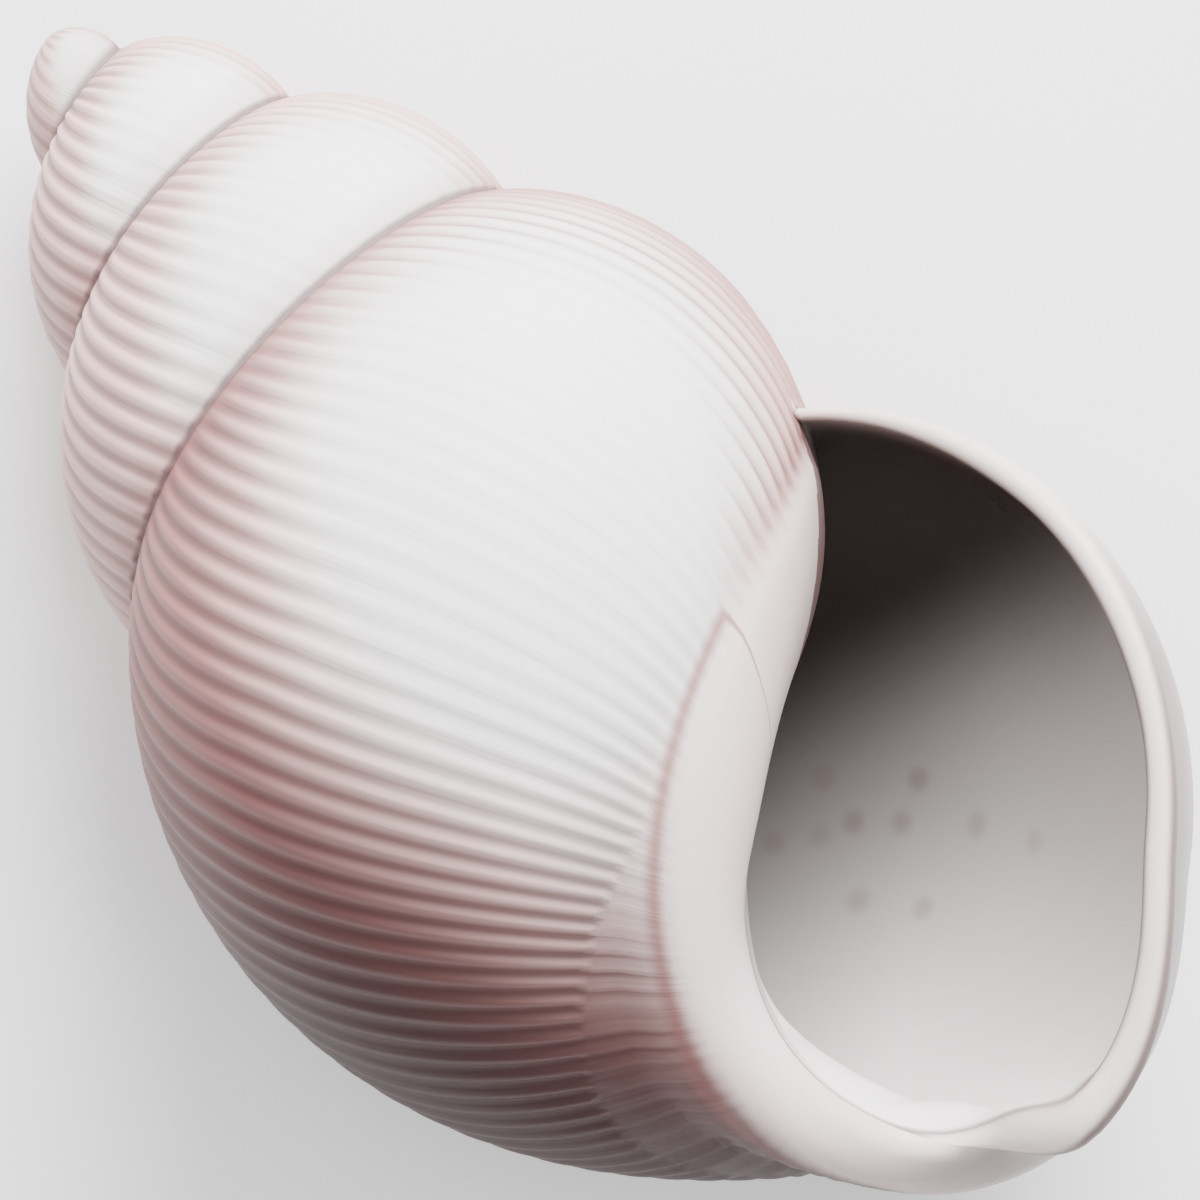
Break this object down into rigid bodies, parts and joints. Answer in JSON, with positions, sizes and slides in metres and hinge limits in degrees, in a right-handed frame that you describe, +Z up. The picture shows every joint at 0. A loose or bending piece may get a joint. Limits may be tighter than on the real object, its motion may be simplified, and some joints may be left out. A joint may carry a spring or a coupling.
{
  "type": "spiral seashell",
  "caption": "Coiled shell of a sea snail with a tall ribbed spire, a round body turn and a wide oval mouth with a rolled lip, lying on its back",
  "frame": {"origin": "middle of the wider of the two small worn spots the shell rests on, under the turn before the last", "axes": "+X lies along the shell from its pointed tip towards the foot of the mouth, +Z is up and out of the open mouth, and +Y points to the side of the outer lip"},
  "size_m": [0.0856, 0.0513, 0.0434],
  "materials": {
    "shell": "semi-gloss"
  },
  "bodies": {
    "root": {"shell": "shell"}
  },
  "joints": []
}
